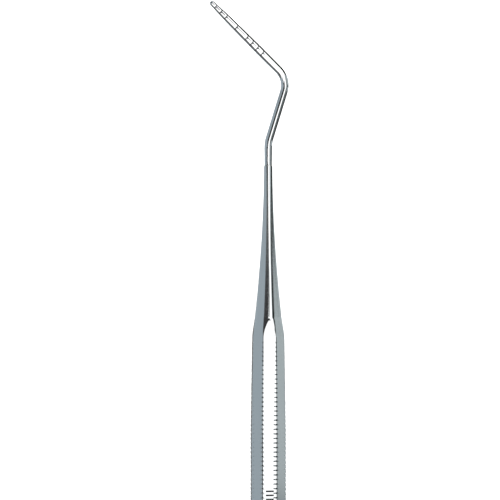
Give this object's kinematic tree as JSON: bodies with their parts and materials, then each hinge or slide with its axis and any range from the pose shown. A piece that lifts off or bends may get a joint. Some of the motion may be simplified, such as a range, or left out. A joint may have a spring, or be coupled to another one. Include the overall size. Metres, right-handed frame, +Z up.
{
  "type": "periodontal probe",
  "caption": "Slim octagonal steel handle with notched ridges and a long turned nose, carrying a thin angled probe ringed in black at millimetre steps, for measuring gum pockets.",
  "frame": {"origin": "on the bottom facet of the octagonal handle, under its centre line, 50 mm from the rear face; the table plane is Z = 0", "axes": "+X along the handle towards the tip, +Z up through the top facet, +Y the side the tip bends to; both bends lie in a plane parallel to XY"},
  "size_m": [0.1652, 0.0109, 0.0047],
  "materials": {
    "handle_steel": "satin, drawn along the handle, with a turned nose",
    "probe_steel": "polished stainless steel",
    "silver_braze": "bright silver brazing alloy, polished flush",
    "black_enamel": "baked black fill in the ring grooves",
    "etch_black": "matt black etched fill"
  },
  "bodies": {
    "root": {"handle": "handle_steel", "probe_insert": "probe_steel", "braze_sleeve": "silver_braze", "graduation_inlays": "black_enamel", "marking_inlay": "etch_black"}
  },
  "joints": []
}
